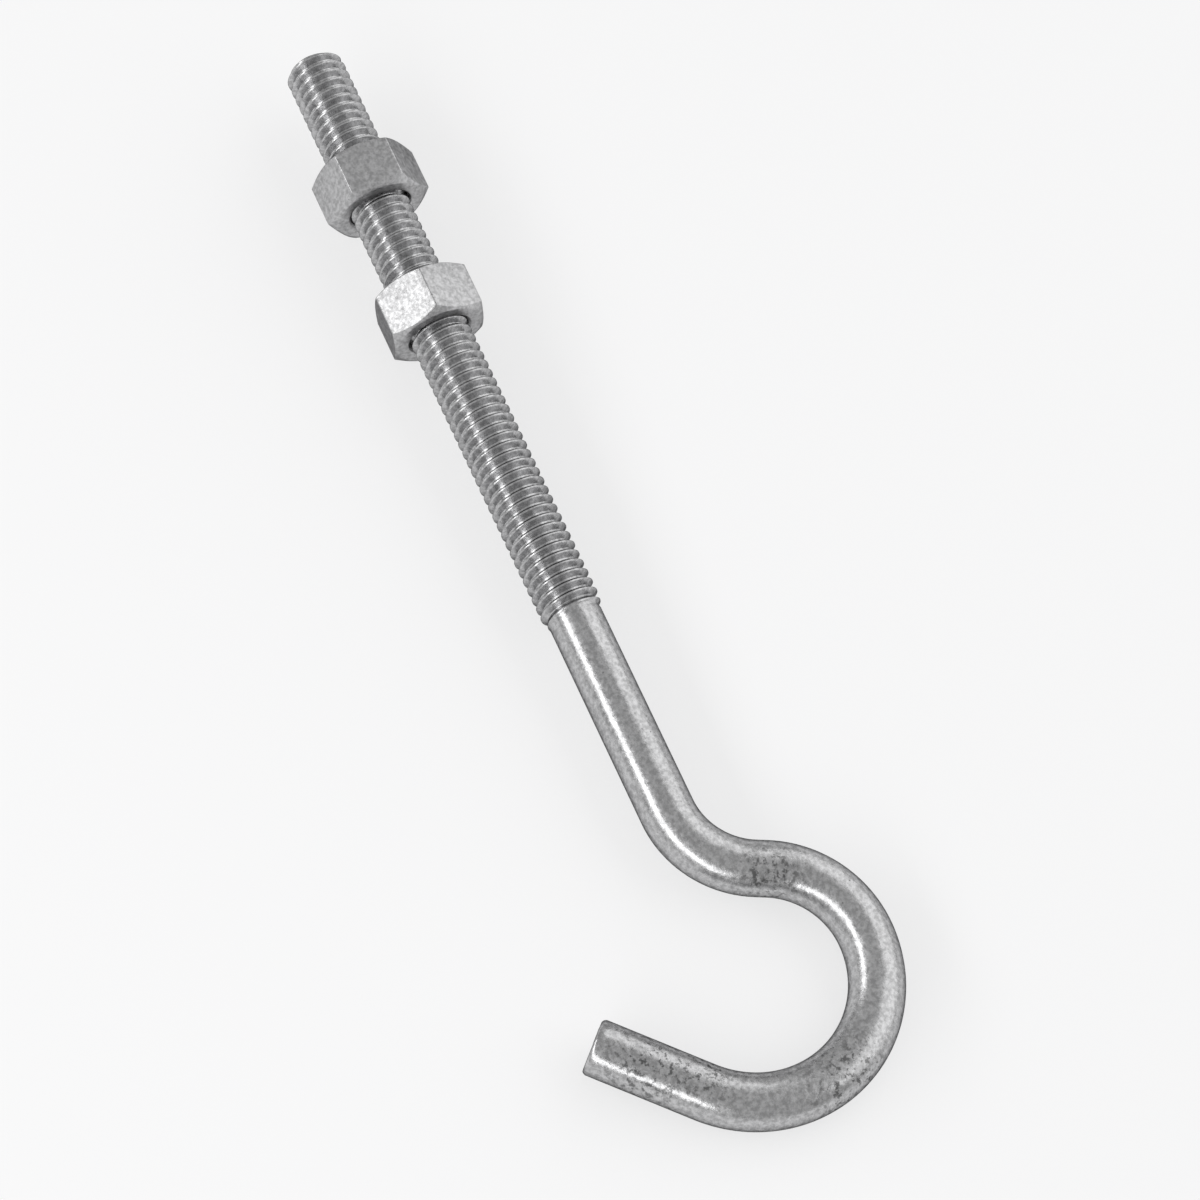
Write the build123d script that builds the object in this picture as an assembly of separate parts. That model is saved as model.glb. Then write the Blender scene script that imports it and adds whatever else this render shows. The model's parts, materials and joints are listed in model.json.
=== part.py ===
from build123d import *
import os
from math import acos, atan2, cos, degrees, hypot, radians, tan

# Round-hook bolt with two hex nuts, lying on a flat surface.
# Working frame: X runs along the shank from the threaded tip to the hook, the hook lies in
# the XY plane with its neck swung to +Y, and Z stands square to the hook.
# Finished frame: the bolt is pitched down to rest on a nut and the hook, +Z up, and the
# origin is under the middle of the whole object, on the surface it lies on.

# Bar and 3/8-16 thread. The rolled thread stands proud of the plain shank.
shank_diameter = 8.05
thread_diameter = 9.3
thread_length = 100.6
thread_runout = 2.4
tip_chamfer = 1.3

# Bends of the bar's centreline, in order from the threaded tip
neck_start = 132.15
neck_radius = 13.4
neck_turn = 66.1
neck_run = 1.65
throat_radius = 14.8
throat_turn = 67.4
hook_radius = 17.85
hook_turn = 134.0
tail_run = 16.5
tail_edge_break = 0.35

# Hex nuts: 9/16 in across the flats, chamfered and countersunk at both ends
nut_across_flats = 14.29
nut_thickness = 8.33
nut_face_diameter = 13.5
nut_face_chamfer = 30.0
nut_countersink_diameter = 10.2
nut_countersink_angle = 45.0
nut_thread_clearance = 0.06

# Where the nuts are screwed to, from the tip to a nut's middle, and how far each one's
# first corner is turned from straight up, towards +Y
outer_nut_place = 23.2
outer_nut_turn = -35.5
inner_nut_place = 46.2
inner_nut_turn = -5.8

shank_radius = shank_diameter / 2
thread_radius = thread_diameter / 2
nut_bore_radius = thread_radius + nut_thread_clearance
nut_corner_radius = nut_across_flats / 2 / cos(radians(30))
nut_face_radius = nut_face_diameter / 2
nut_chamfer_depth = (nut_corner_radius - nut_face_radius) * tan(radians(nut_face_chamfer))
nut_faces = 6


def centreline():
    """The bar's centreline from the end of the thread to the sheared tail."""
    shank = Line((thread_length, 0), (neck_start, 0))
    neck = JernArc(start=shank @ 1, tangent=shank % 1, radius=neck_radius, arc_size=neck_turn)
    run = Line(neck @ 1, neck @ 1 + neck_run * (neck % 1))
    throat = JernArc(start=run @ 1, tangent=run % 1, radius=throat_radius, arc_size=-throat_turn)
    hook = JernArc(start=throat @ 1, tangent=throat % 1, radius=hook_radius, arc_size=-hook_turn)
    tail = Line(hook @ 1, hook @ 1 + tail_run * (hook % 1))
    return Wire([shank, neck, run, throat, hook, tail])


def bent_bar(path):
    """Plain round bar swept along the centreline, its cut tail edge just broken."""
    section = Plane(origin=path @ 0, z_dir=path % 0) * Circle(shank_radius)
    bar = sweep(section, path=path)
    tail_face = bar.faces().sort_by_distance(path @ 1)[0]
    return chamfer(tail_face.edges(), tail_edge_break)


def threaded_end():
    """Thread blank at its major diameter: chamfered tip, full thread, tapered run-out."""
    tip_radius = thread_radius - tip_chamfer
    full_end = thread_length - thread_runout
    profile = Polyline(
        (0, 0),
        (0, tip_radius),
        (tip_chamfer, thread_radius),
        (full_end, thread_radius),
        (thread_length, shank_radius),
        (thread_length, 0),
        close=True,
    )
    return revolve(make_face(profile), axis=Axis.X)


def hook_bolt():
    """The whole bolt as the one bent and threaded bar that it is."""
    return threaded_end() + bent_bar(centreline())


def hex_nut(place, turn):
    """A plain hex nut on the shank's axis, with a bore that runs clear of the thread."""
    half = nut_thickness / 2
    across = Plane.YZ
    prism = extrude(across * RegularPolygon(nut_corner_radius, nut_faces), half, both=True)
    envelope = Polyline(
        (-half, 0),
        (-half, nut_face_radius),
        (nut_chamfer_depth - half, nut_corner_radius),
        (half - nut_chamfer_depth, nut_corner_radius),
        (half, nut_face_radius),
        (half, 0),
        close=True,
    )
    body = prism & revolve(make_face(envelope), axis=Axis.X)
    return Pos(place, 0, 0) * Rot(X=90 - turn) * (body - nut_bore(half))


def nut_bore(half):
    """The bore with a countersink at each end, as a solid to cut away."""
    mouth_radius = nut_countersink_diameter / 2
    sink_depth = (mouth_radius - nut_bore_radius) / tan(radians(nut_countersink_angle))
    outline = Polyline(
        (-half, 0),
        (-half, mouth_radius),
        (sink_depth - half, nut_bore_radius),
        (half - sink_depth, nut_bore_radius),
        (half, mouth_radius),
        (half, 0),
        close=True,
    )
    return revolve(make_face(outline), axis=Axis.X)


def nut_drop(turn):
    """How far a nut turned this way reaches below the shank's axis."""
    step = 360 / nut_faces
    off_bottom = (turn + step / 2) % step - step / 2
    return nut_corner_radius * cos(radians(off_bottom))


def rest_pitch(path, nut_places):
    """The pitch that brings the lowest nut corner and the hook down to one surface."""
    hook_reach = path.bounding_box().max.X
    corner_half_length = nut_thickness / 2 - nut_chamfer_depth
    pitches = []
    for place, turn in nut_places:
        arm = hook_reach - place - corner_half_length
        drop = nut_drop(turn)
        pitches.append(acos(shank_radius / hypot(drop, arm)) - atan2(arm, drop))
    return degrees(max(pitches))


def lay_down(pieces, pitch):
    """Pitch the pieces to rest and put the origin under their middle."""
    pitched = {name: Rot(Y=pitch) * piece for name, piece in pieces.items()}
    box = Compound(list(pitched.values())).bounding_box()
    middle = box.center()
    home = Pos(-middle.X, -middle.Y, -box.min.Z)
    return {name: home * piece for name, piece in pitched.items()}


def main():
    nut_places = [(outer_nut_place, outer_nut_turn), (inner_nut_place, inner_nut_turn)]
    pieces = {
        "hook_bolt": hook_bolt(),
        "outer_nut": hex_nut(outer_nut_place, outer_nut_turn),
        "inner_nut": hex_nut(inner_nut_place, inner_nut_turn),
    }
    laid = lay_down(pieces, rest_pitch(centreline(), nut_places))
    os.makedirs("parts", exist_ok=True)
    for name, piece in laid.items():
        export_step(piece, f"parts/{name}.step")


main()
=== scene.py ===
import json
import math

import bmesh
import bpy
from mathutils import Matrix, Vector


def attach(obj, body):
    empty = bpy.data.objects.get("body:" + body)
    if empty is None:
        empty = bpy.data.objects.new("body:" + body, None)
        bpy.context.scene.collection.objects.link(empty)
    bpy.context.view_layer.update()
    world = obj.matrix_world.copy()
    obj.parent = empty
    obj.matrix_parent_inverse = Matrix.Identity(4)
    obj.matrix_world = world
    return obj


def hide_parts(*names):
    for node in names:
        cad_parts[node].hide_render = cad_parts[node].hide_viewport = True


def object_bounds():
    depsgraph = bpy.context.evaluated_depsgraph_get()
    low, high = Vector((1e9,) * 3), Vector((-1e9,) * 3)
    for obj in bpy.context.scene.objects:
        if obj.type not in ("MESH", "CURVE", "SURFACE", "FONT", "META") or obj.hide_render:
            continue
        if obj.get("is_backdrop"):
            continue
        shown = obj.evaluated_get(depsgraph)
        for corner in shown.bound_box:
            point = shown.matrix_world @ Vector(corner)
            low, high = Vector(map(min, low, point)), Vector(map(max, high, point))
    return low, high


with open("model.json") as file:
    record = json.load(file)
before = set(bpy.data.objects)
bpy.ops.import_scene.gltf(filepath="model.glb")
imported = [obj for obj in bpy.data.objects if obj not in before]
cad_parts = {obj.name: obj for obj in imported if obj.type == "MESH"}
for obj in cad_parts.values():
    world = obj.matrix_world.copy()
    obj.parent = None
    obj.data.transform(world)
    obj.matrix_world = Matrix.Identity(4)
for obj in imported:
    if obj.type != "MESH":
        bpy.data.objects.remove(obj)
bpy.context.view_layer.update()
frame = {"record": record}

bl_info = {
    "name": "Round-hook bolt",
    "version": (1, 0, 0),
    "blender": (4, 5, 0),
    "location": "3D View > Sidebar > Hook bolt",
    "description": "Dresses a zinc-plated hook bolt and its two hex nuts",
    "category": "Object",
}

MM = 0.001
TURN = 2 * math.pi


# ---------------------------------------------------------------- where the bolt lies

MOUNTS = {m["name"]: m for m in frame["record"]["mounts"]}
TIP = Vector(MOUNTS["thread"]["pos_m"])
ALONG = -Vector(MOUNTS["thread"]["axis"]).normalized()
SIDE = Vector((0, 1, 0))
OUT = ALONG.cross(SIDE).normalized()
OUTER_SEAT = Vector(MOUNTS["outer_nut_seat"]["pos_m"])
INNER_SEAT = Vector(MOUNTS["inner_nut_seat"]["pos_m"])


def bolt_frame():
    """Matrix from the bolt's own axes, tip at zero and X along the shank, to the row frame."""
    turned = Matrix((ALONG, SIDE, OUT)).transposed().to_4x4()
    return Matrix.Translation(TIP) @ turned


def along_shank(point):
    """How far a point lies from the tip, measured along the shank."""
    return (point - TIP).dot(ALONG)


# ---------------------------------------------------------------- sizes and finishes

def length(name, description, value, low=0.0):
    """A length in metres that a user can change."""
    return bpy.props.FloatProperty(
        name=name, description=description, default=value, min=low, unit="LENGTH", precision=5
    )


def angle(name, description, degrees):
    """An angle that a user can change, given here in degrees."""
    return bpy.props.FloatProperty(
        name=name, description=description, default=math.radians(degrees), unit="ROTATION"
    )


def grey(name, description, value):
    """A colour that a user can change, grey with a trace of blue."""
    return bpy.props.FloatVectorProperty(
        name=name, description=description, default=(value, value, value * 1.01), size=3,
        subtype="COLOR", min=0.0, max=1.0,
    )


def share(name, description, value):
    """A plain number that a user can change."""
    return bpy.props.FloatProperty(
        name=name, description=description, default=value, min=0.0, max=1.0, subtype="FACTOR"
    )


def power(name, description, watts):
    """A lamp's power that a user can change."""
    return bpy.props.FloatProperty(
        name=name, description=description, default=watts, min=0.0, unit="POWER"
    )


class BarSizes(bpy.types.PropertyGroup):
    """Sizes of the bent and threaded bar."""

    shank_radius: length("Shank radius", "Radius of the plain bar", 4.025 * MM)
    crest_radius: length("Crest radius", "Radius over the thread's crests", 4.65 * MM)
    pitch: length("Pitch", "Distance from one thread crest to the next", 1.5875 * MM)
    first_crest: length("First crest", "A crest's distance from the tip, seen from -Y", 3.0 * MM)
    thread_length: length("Thread length", "From the tip to the plain shank", 100.6 * MM)
    runout: length("Run-out", "Length over which the thread fades out", 2.4 * MM)
    tip_chamfer: length("Tip chamfer", "Length and height of the rounded tip", 1.3 * MM)
    neck_start: length("Neck start", "Where the shank starts to bend", 132.15 * MM)
    neck_radius: length("Neck radius", "Bend radius of the neck", 13.4 * MM)
    neck_turn: angle("Neck turn", "How far the neck turns away", 66.1)
    neck_run: length("Neck run", "Straight between neck and throat", 1.65 * MM)
    throat_radius: length("Throat radius", "Bend radius of the hook's first part", 14.8 * MM)
    throat_turn: angle("Throat turn", "How far the throat turns back", 67.4)
    hook_radius: length("Hook radius", "Bend radius of the round hook", 17.85 * MM)
    hook_turn: angle("Hook turn", "How far the hook turns", 134.0)
    tail_run: length("Tail", "Straight tail after the hook", 16.5 * MM)


class NutSizes(bpy.types.PropertyGroup):
    """Sizes of the two like hex nuts."""

    across_flats: length("Across flats", "Distance between opposite flats", 14.29 * MM)
    thickness: length("Thickness", "Thickness of the nut", 8.33 * MM)
    face_diameter: length("Face diameter", "Diameter of each flat end face", 13.5 * MM)
    face_chamfer: angle("Face chamfer", "Slope of the corner chamfers", 30.0)
    mouth_diameter: length("Mouth diameter", "Diameter of each countersink", 10.2 * MM)
    bore_diameter: length("Bore diameter", "Diameter of the plain bore", 9.42 * MM)
    edge_round: length("Edge rounding", "Rounding of the edges", 0.13 * MM)
    outer_turn: angle("Outer nut turn", "Turn of the outer nut's first corner", -35.5)
    inner_turn: angle("Inner nut turn", "Turn of the inner nut's first corner", -5.8)


class ZincFinish(bpy.types.PropertyGroup):
    """The zinc plate's colours and gloss."""

    bright: grey("Bright zinc", "Colour of clean zinc plate", 0.60)
    dull: grey("Dull zinc", "Colour of the plate's darker mottle", 0.40)
    scuff: grey("Scuff", "Colour of the marks that the bending tools left", 0.16)
    edge: grey("Edge", "Tint of the plate seen at a glancing angle", 0.12)
    bar_roughness: share("Bar roughness", "Roughness of the plated bar", 0.26)
    nut_roughness: share("Nut roughness", "Roughness of the plated nuts", 0.38)


class StageSettings(bpy.types.PropertyGroup):
    """Floor, lamps and camera."""

    floor_colour: grey("Floor", "Colour of the floor", 0.95)
    sky_strength: share("Sky", "Strength of the even light from all round", 0.50)
    strip_power: power("Strip lamp", "Power of the narrow lamp", 2.3)
    side_power: power("Side lamp", "Power of the broad side lamp", 2.5)
    camera_azimuth: angle("Camera azimuth", "Heading of the view, from +Y towards +X", -54.443)
    camera_elevation: angle("Camera elevation", "How steeply the camera looks down", 62.604)
    camera_roll: angle("Camera roll", "Turn of the camera about its view", 12.594)
    camera_distance: length("Camera distance", "From the aim point to the camera", 491.1 * MM)
    aim_x: length("Aim X", "Aim point's X", 8.32 * MM, low=-1.0)
    aim_y: length("Aim Y", "Aim point's Y", 6.80 * MM, low=-1.0)
    aim_height: length("Aim height", "Aim point's height above the floor", 6.0 * MM)
    lens: bpy.props.FloatProperty(
        name="Lens", description="Focal length in millimetres", default=102.02, min=1.0,
        subtype="DISTANCE_CAMERA",
    )


# ---------------------------------------------------------------- mesh helpers

def new_object(name, bm):
    """Turn a bmesh in the bolt's own axes into a smooth-shaded object in the row frame."""
    bm.transform(bolt_frame())
    bm.normal_update()
    mesh = bpy.data.meshes.new(name)
    bm.to_mesh(mesh)
    bm.free()
    for polygon in mesh.polygons:
        polygon.use_smooth = True
    obj = bpy.data.objects.new(name, mesh)
    bpy.context.scene.collection.objects.link(obj)
    return obj


def smoothstep(low, high, value):
    """0 below low, 1 above high, smooth between."""
    t = min(1.0, max(0.0, (value - low) / (high - low)))
    return t * t * (3 - 2 * t)


def stitch(bm, rings):
    """Faces between rings of vertices that each run once round the bar."""
    for low, high in zip(rings, rings[1:]):
        count = len(low)
        for i in range(count):
            j = (i + 1) % count
            bm.faces.new((low[i], high[i], high[j], low[j]))


def cut_off(bm, x, beyond):
    """Cut the mesh square to X, drop the side beyond or before the cut, return its rim."""
    whole = list(bm.verts) + list(bm.edges) + list(bm.faces)
    cut = bmesh.ops.bisect_plane(
        bm, geom=whole, dist=CUT_TOLERANCE, plane_co=(x, 0, 0), plane_no=(1, 0, 0),
        clear_outer=beyond, clear_inner=not beyond,
    )
    return [e for e in cut["geom_cut"] if isinstance(e, bmesh.types.BMEdge)]


# ---------------------------------------------------------------- the bar

AROUND = 60
CUT_TOLERANCE = 1e-7
PATH_STEP = 0.7 * MM

# The thread, in shares of its pitch: where half a crest-to-crest profile is sampled, the
# 60 degree form with its crest flat and depth, and how rolling left crests and roots
HALF_PROFILE = (0.0, 0.03, 0.06, 0.1, 0.16, 0.25, 0.35, 0.41, 0.45)
FLANK_SLOPE = 1 / math.tan(math.radians(30))
CREST_FLAT = 1 / 16
THREAD_DEPTH = 0.6134
ROOT_ROUNDING = 0.03
ROOT_LIFT = 0.4
CREST_ROUNDING = 0.035
CREST_ROUNDING_FROM, CREST_ROUNDING_TO = 0.2, 2.2
SEAM_DEPTH = 0.03
SEAM_REACH = 0.7

# The sheared tail: its broken edge as (inset share, distance back), the shares of the
# radius at which the face is sampled, and the step and ripple that the shears left
TAIL_BACK = 0.6 * MM
BROKEN_EDGE = ((0.02, 0.42 * MM), (0.05, 0.2 * MM), (0.1, 0.07 * MM))
FACE_RINGS = (0.86, 0.72, 0.58, 0.44, 0.3, 0.16, 0.05)
SHEAR_STEP = 0.32 * MM
SHEAR_STEP_SOFTNESS = 0.12
SHEAR_RIPPLE = 0.05 * MM
SHEAR_SETBACK = 0.05 * MM


def thread_profile(fraction, crest, pitch):
    """Radius of the rolled thread at a fraction of a pitch from the middle of a crest."""
    away = abs(fraction - round(fraction)) * pitch
    flat = pitch * CREST_FLAT
    root = crest - THREAD_DEPTH * pitch
    slope = crest - max(0.0, away - flat) * FLANK_SLOPE
    soft = ROOT_ROUNDING * pitch
    softened = root + math.hypot(max(0.0, slope - root), soft) - soft * ROOT_LIFT
    rounded_from, rounded_to = CREST_ROUNDING_FROM * flat, CREST_ROUNDING_TO * flat
    rounding = CREST_ROUNDING * pitch * smoothstep(rounded_from, rounded_to, away)
    seam = SEAM_DEPTH * pitch * (1 - smoothstep(0.0, SEAM_REACH * flat, away))
    return min(crest, softened) - rounding - seam


def thread_envelope(x, sizes):
    """Largest radius that the rounded tip allows at x."""
    if x >= sizes.tip_chamfer:
        return sizes.crest_radius
    end = sizes.crest_radius - sizes.tip_chamfer
    rise = math.sin(max(0.0, x) / sizes.tip_chamfer * math.pi / 2)
    return end + sizes.tip_chamfer * rise


def thread_radius(fraction, x, sizes):
    """Radius of the thread at x, faded into the shank and held inside the rounded tip."""
    radius = thread_profile(fraction, sizes.crest_radius, sizes.pitch)
    fade = smoothstep(sizes.thread_length - sizes.runout, sizes.thread_length, x)
    radius = radius + (sizes.shank_radius - radius) * fade
    return min(radius, thread_envelope(x, sizes))


def add_thread(bm, sizes):
    """Right-hand helical strip of thread, from before the tip to past the run-out."""
    half = list(HALF_PROFILE)
    fractions = half + [0.5] + [1 - f for f in reversed(half[1:])]
    per_turn = len(fractions)
    first_turn = -2 - math.ceil(sizes.first_crest / sizes.pitch)
    last_turn = math.ceil(sizes.thread_length / sizes.pitch) + 1
    rows = []
    for turn in range(first_turn, last_turn):
        for fraction in fractions:
            row = []
            for i in range(AROUND):
                lead = i / AROUND
                x = sizes.first_crest + (turn + fraction + lead - 0.5) * sizes.pitch
                radius = thread_radius(fraction, x, sizes)
                turned = lead * TURN
                place = (x, radius * math.cos(turned), radius * math.sin(turned))
                row.append(bm.verts.new(place))
            rows.append(row)
    for r in range(len(rows) - per_turn - 1):
        low, high = rows[r], rows[r + 1]
        for i in range(AROUND - 1):
            bm.faces.new((low[i], low[i + 1], high[i + 1], high[i]))
        next_low, next_high = rows[r + per_turn], rows[r + per_turn + 1]
        bm.faces.new((low[-1], next_low[0], next_high[0], high[-1]))


def bar_path(sizes):
    """(position, heading, length so far) along the bar from the thread's end to the tail."""
    heading = 0.0
    place = Vector((sizes.thread_length, 0, 0))
    travelled = sizes.thread_length
    stages = (
        (sizes.neck_start - sizes.thread_length, 0.0),
        (sizes.neck_radius * sizes.neck_turn, sizes.neck_turn),
        (sizes.neck_run, 0.0),
        (sizes.throat_radius * sizes.throat_turn, -sizes.throat_turn),
        (sizes.hook_radius * sizes.hook_turn, -sizes.hook_turn),
        (sizes.tail_run, 0.0),
    )
    points = []
    for stage_length, turn in stages:
        count = max(1, round(stage_length / PATH_STEP))
        bend = turn / count / 2
        chord = stage_length / count * (math.sin(bend) / bend if bend else 1.0)
        for _ in range(count):
            points.append((place.copy(), heading, travelled))
            place = place + forward(heading + bend) * chord
            heading += turn / count
            travelled += stage_length / count
    points.append((place.copy(), heading, travelled))
    return points


def forward(heading):
    """Unit vector along the bar at this heading."""
    return Vector((math.cos(heading), math.sin(heading), 0))


def sideways(heading):
    """Unit vector square to the bar at this heading, in the plane of the hook."""
    return Vector((-math.sin(heading), math.cos(heading), 0))


def add_ring(bm, centre, heading, radius, push=None):
    """One ring of vertices square to the bar's centreline, pushed along it where asked."""
    verts = []
    for i in range(AROUND):
        turned = i / AROUND * TURN
        drop = Vector((0, 0, radius * math.sin(turned)))
        offset = sideways(heading) * (radius * math.cos(turned)) - drop
        shift = push(turned, radius) if push else 0.0
        verts.append(bm.verts.new(centre + offset + forward(heading) * shift))
    return verts


def add_sheared_face(bm, centre, heading, last, radius):
    """The tail's cut end: a broken edge, then a face that sheared in two steps."""
    def rough(turned, at):
        across = at * math.cos(turned) / radius
        along = at * math.sin(turned) / radius
        wander = SHEAR_STEP_SOFTNESS * math.sin(5 * along + 0.6)
        step = SHEAR_STEP * smoothstep(-SHEAR_STEP_SOFTNESS, SHEAR_STEP_SOFTNESS, across + wander)
        ripple = SHEAR_RIPPLE * math.sin(9 * across + 2 * math.sin(7 * along))
        return -step - ripple - SHEAR_SETBACK

    rings = [last]
    for inset, back in BROKEN_EDGE:
        place = centre + forward(heading) * -back
        rings.append(add_ring(bm, place, heading, radius * (1 - inset)))
    for part in FACE_RINGS:
        rings.append(add_ring(bm, centre, heading, radius * part, rough))
    stitch(bm, rings)
    bm.faces.new(rings[-1])


def hook_bar(sizes):
    """The whole bar: thread, shank, neck, hook and sheared tail, in one mesh."""
    bm = bmesh.new()
    add_thread(bm, sizes)
    rim = cut_off(bm, 0.0, beyond=False)
    bmesh.ops.holes_fill(bm, edges=rim, sides=0)
    cut_off(bm, sizes.thread_length, beyond=True)
    path = bar_path(sizes)
    rings = [add_ring(bm, place, heading, sizes.shank_radius) for place, heading, _ in path[:-1]]
    end, heading, _ = path[-1]
    last = add_ring(bm, end - forward(heading) * TAIL_BACK, heading, sizes.shank_radius)
    rings[-1] = last
    stitch(bm, rings)
    add_sheared_face(bm, end, heading, last, sizes.shank_radius)
    bmesh.ops.recalc_face_normals(bm, faces=bm.faces)
    return new_object("hook_bolt_bar", bm)


# ---------------------------------------------------------------- the nuts

NUT_AROUND = 180
NUT_SIDES = 6
EDGE_SEGMENTS = 3
SHARPEST_UNROUNDED = math.radians(22)


def hex_radius(turned, apothem):
    """Distance from the axis to the hexagon's side in this direction, corner at zero."""
    sector = TURN / NUT_SIDES
    within = (turned % sector) - sector / 2
    return apothem / math.cos(within)


def nut_section(flat, sizes):
    """Half section through a nut as (x from its middle, radius), where its side is at flat."""
    half = sizes.thickness / 2
    face = sizes.face_diameter / 2
    mouth = sizes.mouth_diameter / 2
    bore = sizes.bore_diameter / 2
    drop = max(0.0, flat - face) * math.tan(sizes.face_chamfer)
    return (
        (half, mouth), (half, face), (half - drop, flat),
        (drop - half, flat), (-half, face), (-half, mouth),
        (mouth - bore - half, bore), (half - mouth + bore, bore),
    )


def nut_mesh(name, middle, turn, sizes):
    """A chamfered and countersunk hex nut with a plain bore."""
    bm = bmesh.new()
    columns = []
    for i in range(NUT_AROUND):
        turned = i / NUT_AROUND * TURN
        flat = hex_radius(turned, sizes.across_flats / 2)
        heading = turn - turned
        columns.append([
            bm.verts.new((x + middle, radius * math.sin(heading), radius * math.cos(heading)))
            for x, radius in nut_section(flat, sizes)
        ])
    for i, low in enumerate(columns):
        high = columns[(i + 1) % NUT_AROUND]
        for k in range(len(low)):
            n = (k + 1) % len(low)
            bm.faces.new((low[k], low[n], high[n], high[k]))
    bmesh.ops.recalc_face_normals(bm, faces=bm.faces)
    nut = new_object(name, bm)
    rounding = nut.modifiers.new("edge rounding", "BEVEL")
    rounding.width = sizes.edge_round
    rounding.segments = EDGE_SEGMENTS
    rounding.limit_method = "ANGLE"
    rounding.angle_limit = SHARPEST_UNROUNDED
    rounding.harden_normals = False
    return nut


# ---------------------------------------------------------------- materials

# Noise as (scale per metre, detail, roughness), and where a ramp over it starts and ends
MOTTLE = (1500.0, 3.0, 0.65)
MOTTLE_RAMP = ((0.38, 0.0), (0.62, 1.0))
SPECKS = (2900.0, 2.0, 0.6)
SPECKS_RAMP = ((0.66, 0.0), (0.74, 1.0))
SPECKED_AREAS = (160.0, 3.0, 0.6)
SPECKED_AREAS_RAMP = ((0.45, 0.15), (0.62, 1.0))
RUBBED = (1100.0, 4.0, 0.7)
RUBBED_RAMP = ((0.52, 0.0), (0.60, 1.0))
GLOSS = (1900.0, 3.0, 0.5)
GLOSSIER, DULLER = 0.07, 0.10
GRAIN = (3200.0, 3.0, 0.6)
GRAIN_BUMP = (0.03 * MM, 0.5)
WAVES = (520.0, 2.0, 0.5)
WAVES_BUMP = (0.10 * MM, 0.4)
SCUFF_CORE = 0.3
SCUFF_HEIGHT = 0.85
WHITENING = 0.6


class Nodes:
    """Small helper that adds and links shader nodes."""

    def __init__(self, material):
        material.use_nodes = True
        self.tree = material.node_tree
        self.shader = next(n for n in self.tree.nodes if n.type == "BSDF_PRINCIPLED")
        self.place = self.add("ShaderNodeTexCoord").outputs["Object"]

    def add(self, kind, **settings):
        node = self.tree.nodes.new(kind)
        for name, value in settings.items():
            setattr(node, name, value)
        return node

    def link(self, source, target):
        self.tree.links.new(source, target)

    def noise(self, scale, detail, roughness):
        node = self.add("ShaderNodeTexNoise")
        node.inputs["Scale"].default_value = scale
        node.inputs["Detail"].default_value = detail
        node.inputs["Roughness"].default_value = roughness
        self.link(self.place, node.inputs["Vector"])
        return node.outputs["Fac"]

    def ramp(self, source, stops):
        node = self.add("ShaderNodeValToRGB")
        for element, (position, value) in zip(node.color_ramp.elements, stops):
            element.position = position
            element.color = (value, value, value, 1)
        self.link(source, node.inputs["Fac"])
        return node.outputs["Color"]

    def mix(self, factor, low, high):
        node = self.add("ShaderNodeMix", data_type="RGBA")
        self.link(factor, node.inputs["Factor"])
        for socket, value in (("A", low), ("B", high)):
            target = next(s for s in node.inputs if s.name == socket and s.type == "RGBA")
            if isinstance(value, bpy.types.NodeSocket):
                self.link(value, target)
            else:
                target.default_value = (*value, 1)
        return next(s for s in node.outputs if s.type == "RGBA")

    def span(self, source, low, high, to_low, to_high):
        node = self.add("ShaderNodeMapRange")
        for name, value in (("From Min", low), ("From Max", high),
                            ("To Min", to_low), ("To Max", to_high)):
            node.inputs[name].default_value = value
        self.link(source, node.inputs["Value"])
        return node.outputs["Result"]

    def math(self, operation, first, second):
        node = self.add("ShaderNodeMath", operation=operation)
        self.link(first, node.inputs[0])
        self.link(second, node.inputs[1])
        return node.outputs[0]

    def near(self, point, reach):
        """1 close to a point in the row frame, falling to 0 at reach."""
        node = self.add("ShaderNodeVectorMath", operation="DISTANCE")
        self.link(self.place, node.inputs[0])
        node.inputs[1].default_value = point
        return self.span(node.outputs["Value"], reach * SCUFF_CORE, reach, 1.0, 0.0)

    def bump(self, source, distance, strength, after=None):
        node = self.add("ShaderNodeBump")
        node.inputs["Distance"].default_value = distance
        node.inputs["Strength"].default_value = strength
        self.link(source, node.inputs["Height"])
        if after:
            self.link(after, node.inputs["Normal"])
        return node.outputs["Normal"]


def scuff_places(sizes):
    """Where the bending tools rubbed the bar: tail, throat, and low on the round hook."""
    path = bar_path(sizes)
    end = path[-1][2]
    top = Vector((0, 0, sizes.shank_radius * SCUFF_HEIGHT))
    places = []
    for travelled, across, reach in (
        (end - 8.0 * MM, 1.0 * MM, 9 * MM),
        (end - 16.0 * MM, -1.5 * MM, 6 * MM),
        (sizes.neck_start + 17.0 * MM, -2.5 * MM, 7 * MM),
        (end - 36.0 * MM, 2.6 * MM, 9 * MM),
    ):
        centre, heading, _ = min(path, key=lambda point: abs(point[2] - travelled))
        places.append((bolt_frame() @ (centre + sideways(heading) * across + top), reach))
    return places


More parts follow.
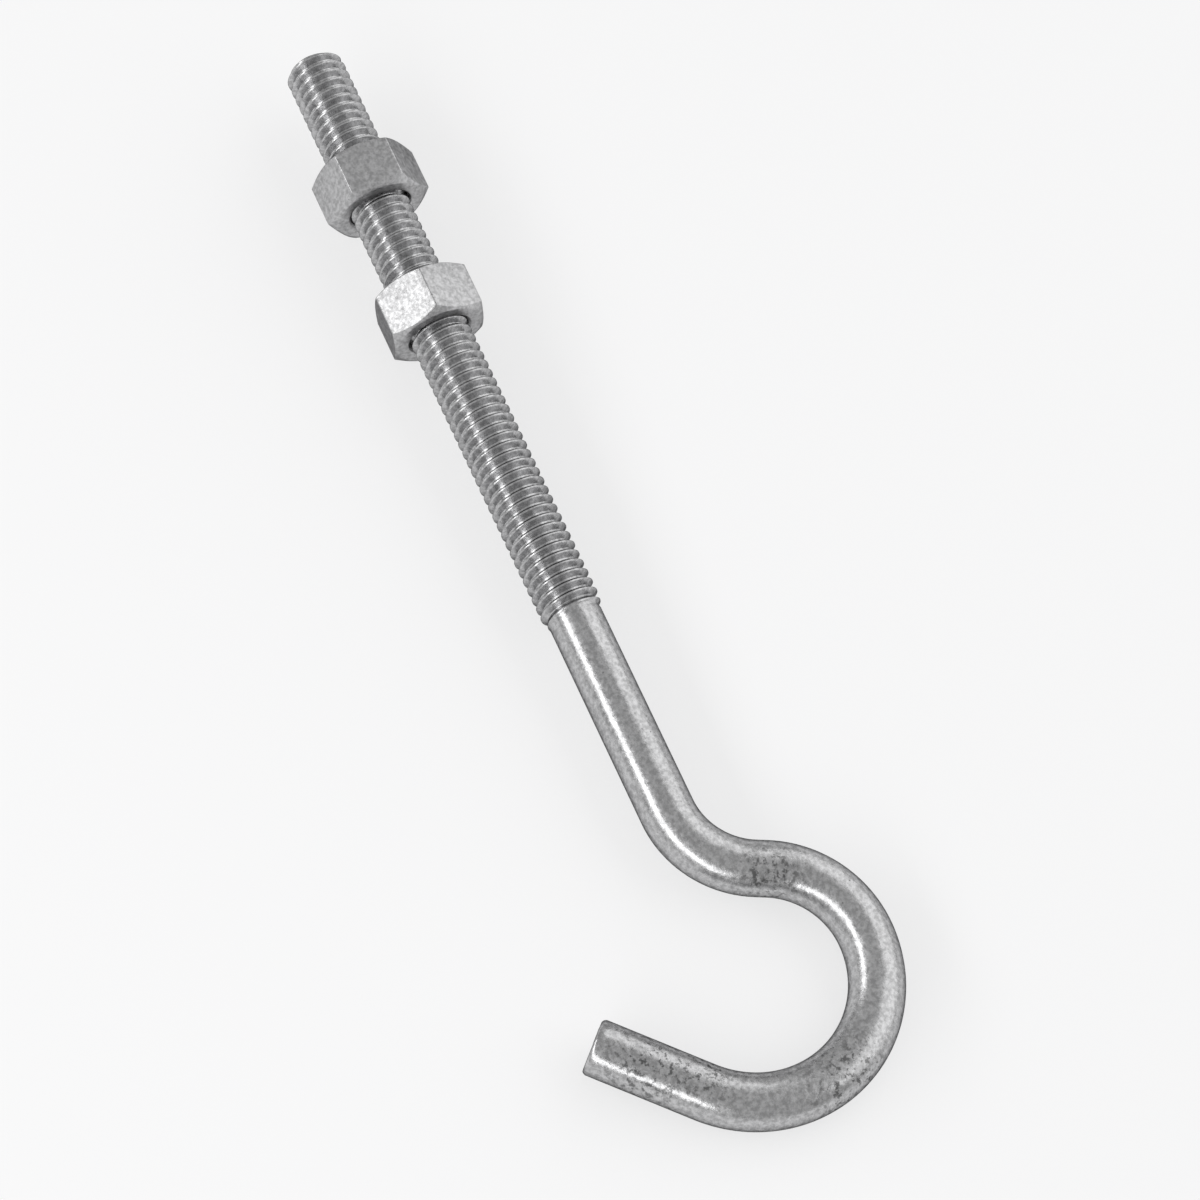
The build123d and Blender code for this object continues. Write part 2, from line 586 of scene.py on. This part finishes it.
def zinc(name, finish, roughness, scuffs=()):
    """Zinc plate: neutral grey metal with a fine mottle, grain, small pits and dark edges."""
    material = bpy.data.materials.new(name)
    nodes = Nodes(material)
    shader = nodes.shader
    shader.inputs["Metallic"].default_value = 1.0
    shader.inputs["Specular Tint"].default_value = (*finish.edge, 1)
    tone = nodes.ramp(nodes.noise(*MOTTLE), MOTTLE_RAMP)
    colour = nodes.mix(tone, finish.dull, finish.bright)
    specks = nodes.ramp(nodes.noise(*SPECKS), SPECKS_RAMP)
    areas = nodes.ramp(nodes.noise(*SPECKED_AREAS), SPECKED_AREAS_RAMP)
    colour = nodes.mix(nodes.math("MULTIPLY", specks, areas), colour, finish.scuff)
    rubbed = nodes.ramp(nodes.noise(*RUBBED), RUBBED_RAMP)
    for point, reach in scuffs:
        here = nodes.math("MULTIPLY", rubbed, nodes.near(point, reach))
        colour = nodes.mix(here, colour, finish.scuff)
    nodes.link(colour, shader.inputs["Base Color"])
    gloss = nodes.noise(*GLOSS)
    rough = nodes.span(gloss, 0.3, 0.7, roughness - GLOSSIER, roughness + DULLER)
    nodes.link(rough, shader.inputs["Roughness"])
    grain = nodes.bump(nodes.noise(*GRAIN), *GRAIN_BUMP)
    waves = nodes.bump(nodes.noise(*WAVES), *WAVES_BUMP, after=grain)
    nodes.link(waves, shader.inputs["Normal"])
    return material


def floor_paint(colour):
    """Matt pale floor, whitened where it is seen or mirrored, that keeps part of its shadow."""
    material = bpy.data.materials.new("pale_floor")
    nodes = Nodes(material)
    shader = nodes.shader
    shader.inputs["Base Color"].default_value = (*colour, 1)
    shader.inputs["Roughness"].default_value = 1.0
    shader.inputs["Specular IOR Level"].default_value = 0.0
    rays = nodes.add("ShaderNodeLightPath").outputs
    mirrored = nodes.math("ADD", rays["Is Glossy Ray"], rays["Is Transmission Ray"])
    seen = nodes.math("ADD", rays["Is Camera Ray"], mirrored)
    share_white = nodes.span(seen, 0.0, 1.0, 0.0, WHITENING)
    white = nodes.add("ShaderNodeEmission")
    white.inputs["Strength"].default_value = 1.0
    white.inputs["Color"].default_value = (1, 1, 1, 1)
    both = nodes.add("ShaderNodeMixShader")
    nodes.link(share_white, both.inputs[0])
    nodes.link(shader.outputs[0], both.inputs[1])
    nodes.link(white.outputs[0], both.inputs[2])
    output = next(n for n in nodes.tree.nodes if n.type == "OUTPUT_MATERIAL")
    nodes.link(both.outputs[0], output.inputs["Surface"])
    return material


# ---------------------------------------------------------------- stage

FLOOR_REACH = 3.0
LAMP_TARGET = 0.09
LAMP_LENGTH = 1.4

# Turn about the shank from towards the camera to its right, distance, and width
STRIP_LAMP = (-40, 0.60, 0.17)
SIDE_LAMP = (70, 0.72, 0.74)


def view_direction(stage):
    """Unit vector of the camera's view."""
    level = math.cos(stage.camera_elevation)
    return Vector((
        math.sin(stage.camera_azimuth) * level,
        math.cos(stage.camera_azimuth) * level,
        -math.sin(stage.camera_elevation),
    ))


def add_floor(stage):
    """A wide square floor at the level that the bolt lies on."""
    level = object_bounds()[0][2]
    corners = [
        (-FLOOR_REACH, -FLOOR_REACH, level), (FLOOR_REACH, -FLOOR_REACH, level),
        (FLOOR_REACH, FLOOR_REACH, level), (-FLOOR_REACH, FLOOR_REACH, level),
    ]
    mesh = bpy.data.meshes.new("floor")
    mesh.from_pydata(corners, [], [(0, 1, 2, 3)])
    mesh.materials.append(floor_paint(stage.floor_colour))
    floor = bpy.data.objects.new("floor", mesh)
    bpy.context.scene.collection.objects.link(floor)
    floor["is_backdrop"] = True


def add_sky(scene, stage):
    """Even white light from all round."""
    world = bpy.data.worlds.new("even_light")
    world.use_nodes = True
    background = world.node_tree.nodes["Background"]
    background.inputs["Color"].default_value = (1, 1, 1, 1)
    background.inputs["Strength"].default_value = stage.sky_strength
    scene.world = world


def add_lamp(name, view, layout, energy):
    """A long area lamp that lies along the shank and faces it."""
    degrees, distance, width = layout
    target = TIP + ALONG * LAMP_TARGET
    tipwards = -ALONG
    right = view.cross(tipwards).normalized()
    towards_camera = right.cross(tipwards).normalized()
    turned = math.radians(degrees)
    direction = towards_camera * math.cos(turned) + right * math.sin(turned)
    back = direction.normalized()
    light = bpy.data.lights.new(name, "AREA")
    light.shape = "RECTANGLE"
    light.size = width
    light.size_y = LAMP_LENGTH
    light.energy = energy
    lamp = bpy.data.objects.new(name, light)
    axes = Matrix((tipwards.cross(back).normalized(), tipwards, back)).transposed().to_4x4()
    lamp.matrix_world = Matrix.Translation(target + direction * distance) @ axes
    bpy.context.scene.collection.objects.link(lamp)


def add_camera(scene, stage):
    """The camera, rolled about its view."""
    data = bpy.data.cameras.new("camera")
    data.lens = stage.lens
    data.sensor_width = 36.0
    data.clip_start = 0.01
    data.clip_end = 20.0
    camera = bpy.data.objects.new("camera", data)
    point = Vector((stage.aim_x, stage.aim_y, stage.aim_height))
    camera.location = point - view_direction(stage) * stage.camera_distance
    level = (point - camera.location).to_track_quat("-Z", "Y")
    camera.rotation_mode = "QUATERNION"
    roll = Matrix.Rotation(stage.camera_roll, 3, "Z").to_quaternion()
    camera.rotation_quaternion = level @ roll
    scene.collection.objects.link(camera)
    scene.camera = camera


# ---------------------------------------------------------------- operators

class HOOKBOLT_OT_bar(bpy.types.Operator):
    """Build the threaded and bent bar"""

    bl_idname = "hookbolt.bar"
    bl_label = "Hook bolt bar"

    def execute(self, context):
        sizes = context.scene.hookbolt_bar
        finish = context.scene.hookbolt_zinc
        bar = hook_bar(sizes)
        plate = zinc("zinc_bar", finish, finish.bar_roughness, scuff_places(sizes))
        bar.data.materials.append(plate)
        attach(bar, "bolt")
        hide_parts("hook_bolt")
        return {"FINISHED"}


class HOOKBOLT_OT_nuts(bpy.types.Operator):
    """Build the two hex nuts"""

    bl_idname = "hookbolt.nuts"
    bl_label = "Hex nuts"

    def execute(self, context):
        sizes = context.scene.hookbolt_nuts
        finish = context.scene.hookbolt_zinc
        plate = zinc("zinc_nut", finish, finish.nut_roughness)
        half = sizes.thickness / 2
        nuts = (
            ("outer_nut", along_shank(OUTER_SEAT) - half, sizes.outer_turn),
            ("inner_nut", along_shank(INNER_SEAT) + half, sizes.inner_turn),
        )
        for node, middle, turn in nuts:
            nut = nut_mesh(f"{node}_body", middle, turn, sizes)
            nut.data.materials.append(plate)
            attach(nut, node)
            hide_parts(node)
        return {"FINISHED"}


class HOOKBOLT_OT_stage(bpy.types.Operator):
    """Set the floor, the lamps and the camera"""

    bl_idname = "hookbolt.stage"
    bl_label = "Stage"

    def execute(self, context):
        stage = context.scene.hookbolt_stage
        view = view_direction(stage)
        add_floor(stage)
        add_sky(context.scene, stage)
        add_lamp("strip_lamp", view, STRIP_LAMP, stage.strip_power)
        add_lamp("side_lamp", view, SIDE_LAMP, stage.side_power)
        add_camera(context.scene, stage)
        context.scene.view_settings.view_transform = "Standard"
        return {"FINISHED"}


class HOOKBOLT_PT_panel(bpy.types.Panel):
    """Lists the sizes, the finish and the operators"""

    bl_idname = "HOOKBOLT_PT_panel"
    bl_label = "Hook bolt"
    bl_space_type = "VIEW_3D"
    bl_region_type = "UI"
    bl_category = "Hook bolt"

    def draw(self, context):
        for group, settings_name in GROUPS.items():
            box = self.layout.box()
            box.label(text=group.__doc__)
            settings = getattr(context.scene, settings_name)
            for name in group.__annotations__:
                box.prop(settings, name)
        for operator in OPERATORS:
            self.layout.operator(operator.bl_idname)


GROUPS = {
    BarSizes: "hookbolt_bar",
    NutSizes: "hookbolt_nuts",
    ZincFinish: "hookbolt_zinc",
    StageSettings: "hookbolt_stage",
}
OPERATORS = (HOOKBOLT_OT_bar, HOOKBOLT_OT_nuts, HOOKBOLT_OT_stage)
CLASSES = (*GROUPS, *OPERATORS, HOOKBOLT_PT_panel)


def register():
    for cls in CLASSES:
        bpy.utils.register_class(cls)
    for group, name in GROUPS.items():
        setattr(bpy.types.Scene, name, bpy.props.PointerProperty(type=group))


def unregister():
    for name in GROUPS.values():
        delattr(bpy.types.Scene, name)
    for cls in reversed(CLASSES):
        bpy.utils.unregister_class(cls)


def main():
    register()
    bpy.ops.hookbolt.bar()
    bpy.ops.hookbolt.nuts()
    bpy.ops.hookbolt.stage()


if __name__ == "__main__":
    main()
